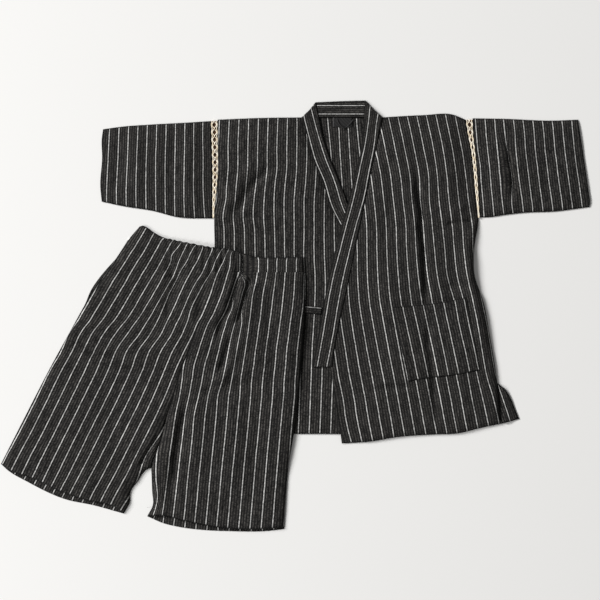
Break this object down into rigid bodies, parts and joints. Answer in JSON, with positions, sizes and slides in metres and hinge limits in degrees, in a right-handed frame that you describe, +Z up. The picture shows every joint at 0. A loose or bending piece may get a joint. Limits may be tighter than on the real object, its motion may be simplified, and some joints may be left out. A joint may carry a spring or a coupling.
{
  "type": "jinbei set laid flat, jacket and shorts",
  "caption": "Wrap jacket with openwork sleeve seams and gathered-waist shorts in dark striped crinkle cotton, laid flat on a surface.",
  "frame": {"origin": "middle of the laid set's outline, on the surface it lies on", "axes": "+X across the set from cuff to cuff towards the wearer's left sleeve, +Y from the hems to the neck, +Z up from the surface"},
  "size_m": [1.2952, 0.9482, 0.0094],
  "materials": {
    "striped_cotton": "matte charcoal crinkle cotton with fine grey stripes",
    "cream_lace": "matte cream cotton openwork",
    "black_label": "plain black woven tape",
    "black_cord": "fine black braided cord"
  },
  "bodies": {
    "root": {"jacket_back": "striped_cotton", "jacket_front_under": "striped_cotton", "jacket_front_over": "striped_cotton", "collar_neck": "striped_cotton", "collar_under": "striped_cotton", "collar_over": "striped_cotton", "sleeve_right": "striped_cotton", "sleeve_left": "striped_cotton", "lace_right_front": "cream_lace", "lace_right_back": "cream_lace", "lace_left_front": "cream_lace", "lace_left_back": "cream_lace", "patch_pocket": "striped_cotton", "tie": "striped_cotton", "neck_label": "black_label", "hanger_loop": "black_cord", "waistband": "striped_cotton", "shorts_right_front": "striped_cotton", "shorts_left_front": "striped_cotton", "shorts_right_back": "striped_cotton", "shorts_left_back": "striped_cotton"}
  },
  "joints": []
}
